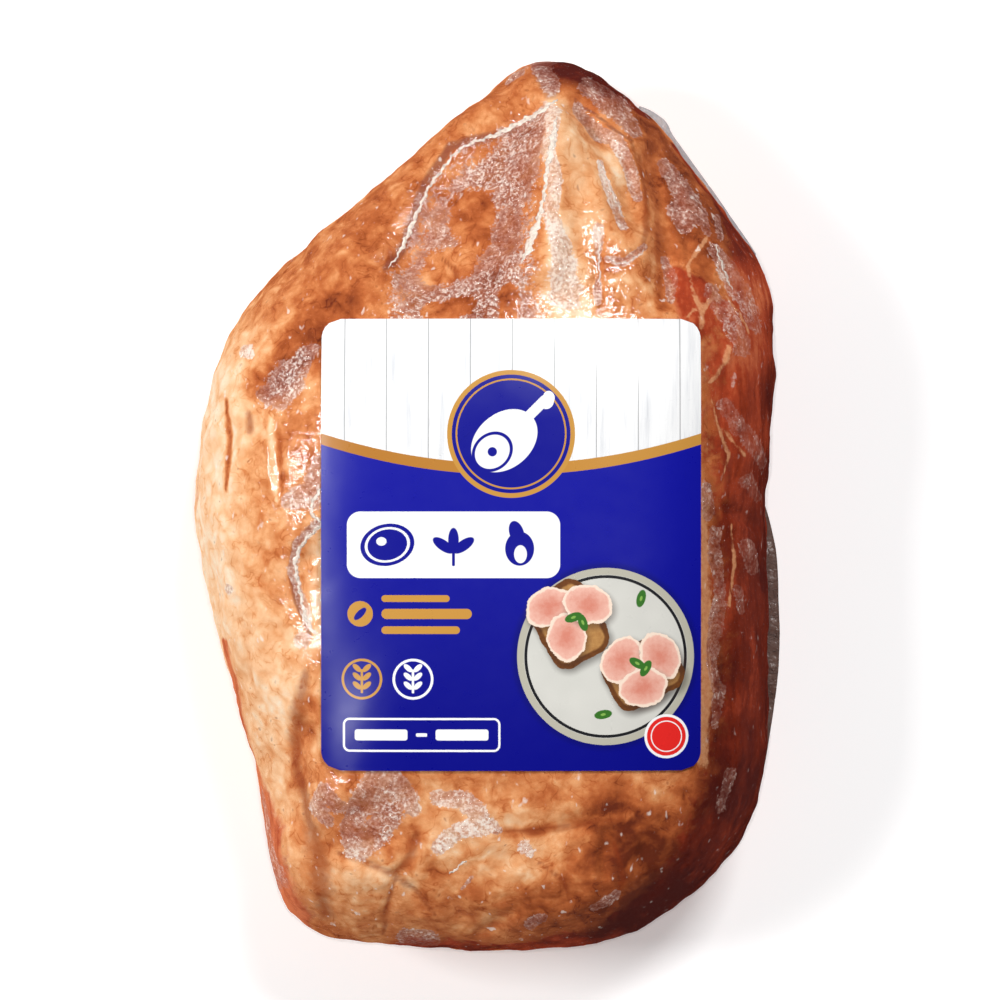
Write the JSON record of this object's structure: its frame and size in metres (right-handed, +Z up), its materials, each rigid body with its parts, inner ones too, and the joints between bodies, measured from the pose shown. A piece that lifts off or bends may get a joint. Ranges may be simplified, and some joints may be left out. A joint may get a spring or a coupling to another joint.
{
  "type": "smoked ham",
  "caption": "Boneless smoked ham in tight clear film, lying on its back, with a printed label stuck on its front.",
  "frame": {"origin": "centre of the pack's outline seen from above, on the surface that its back rests on", "axes": "+Z up out of the labelled front, +Y towards the narrow shank end, +X towards the lean side"},
  "size_m": [0.1415, 0.2156, 0.0798],
  "materials": {
    "sealed_ham": "smoked pork seen through tight clear film: peach and amber fat, red-brown lean, glossy",
    "film": "clear shrink film, glossy and finely wrinkled, milky where frost or gel lies under it",
    "label": "satin printed label: white planked field, gold band, deep blue field and simple food shapes"
  },
  "bodies": {
    "root": {"sealed_ham": "sealed_ham", "label": "label"}
  },
  "joints": []
}
